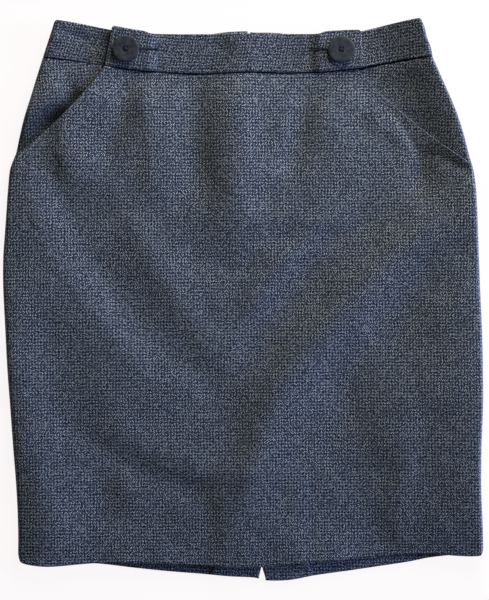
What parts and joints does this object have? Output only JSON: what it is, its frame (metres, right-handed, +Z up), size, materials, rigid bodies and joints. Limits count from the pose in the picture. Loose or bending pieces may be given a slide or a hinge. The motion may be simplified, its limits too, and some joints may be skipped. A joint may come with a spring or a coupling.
{
  "type": "pencil skirt",
  "caption": "Knee-length pencil skirt laid flat, face up, with a buttoned-tab waistband, slanted hip pockets, and a slit at the centre back hem.",
  "frame": {"origin": "on the surface that the skirt lies on, beneath the middle of its outline", "axes": "+X towards the picture's right, across the skirt; +Y from hem to waist; +Z up from the surface, out of the skirt's front"},
  "size_m": [0.5, 0.5844, 0.0115],
  "materials": {
    "tweed": "heathered blue-grey basket-weave wool tweed, matt",
    "band_tweed": "the same tweed, doubled and stiffened",
    "button": "semi-matt dark slate-blue resin",
    "zip": "dark woven tape with a nylon chain"
  },
  "bodies": {
    "root": {"back_panel_left": "tweed", "back_panel_right": "tweed", "slit_facing_left": "tweed", "slit_facing_right": "tweed", "zip": "zip", "hip_piece_left": "tweed", "hip_piece_right": "tweed", "front_panel": "tweed", "back_band_left": "band_tweed", "back_band_right": "band_tweed", "side_band_left": "band_tweed", "side_band_right": "band_tweed", "front_band": "band_tweed", "button_left": "button", "button_right": "button"}
  },
  "joints": []
}
